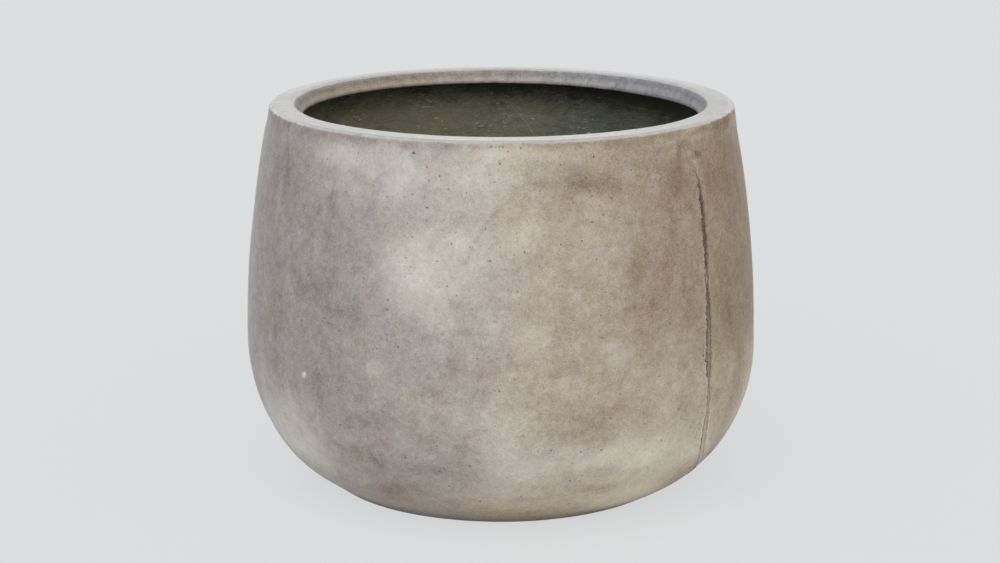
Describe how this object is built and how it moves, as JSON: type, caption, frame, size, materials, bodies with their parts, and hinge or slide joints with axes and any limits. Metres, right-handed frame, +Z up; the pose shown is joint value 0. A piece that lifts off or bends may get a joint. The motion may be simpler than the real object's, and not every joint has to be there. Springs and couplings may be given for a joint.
{
  "type": "bowl planter",
  "caption": "Round-bellied bowl planter of cast concrete with a thick flat rim, a pointed side seam, a dark lining and a drain hole closed by a rubber plug.",
  "frame": {"origin": "centre of the foot on the ground plane, on the bowl's upright axis", "axes": "+Z up along the bowl's axis; front towards -Y; the seam that shows is 51 degrees to the right of the front, towards +X, and the other is opposite it"},
  "size_m": [0.6, 0.5998, 0.45],
  "materials": {
    "wall_concrete": "hand-trowelled cement, clouded grey and beige, matt",
    "rim_concrete": "rubbed cement, pale grey, matt",
    "seam_mortar": "rough pitted mortar, darker than the wall",
    "glass_lining": "dark brushed glass-fibre resin, satin",
    "sleeve_plastic": "dark grey pipe plastic, satin",
    "plug_rubber": "moulded black rubber"
  },
  "bodies": {
    "bowl": {"front_shell": "wall_concrete", "back_shell": "wall_concrete", "rim_ring": "rim_concrete", "glass_lining": "glass_lining", "front_seam_mortar": "seam_mortar", "back_seam_mortar": "seam_mortar", "front_pin_fill": "seam_mortar", "back_pin_fill": "seam_mortar", "drain_sleeve": "sleeve_plastic"},
    "plug": {"drain_plug": "plug_rubber"}
  },
  "joints": [
    {"name": "plug_pull", "type": "slide", "parent": "bowl", "child": "plug", "axis": [0, 0, 1], "range_m": [0, 0.06]}
  ]
}
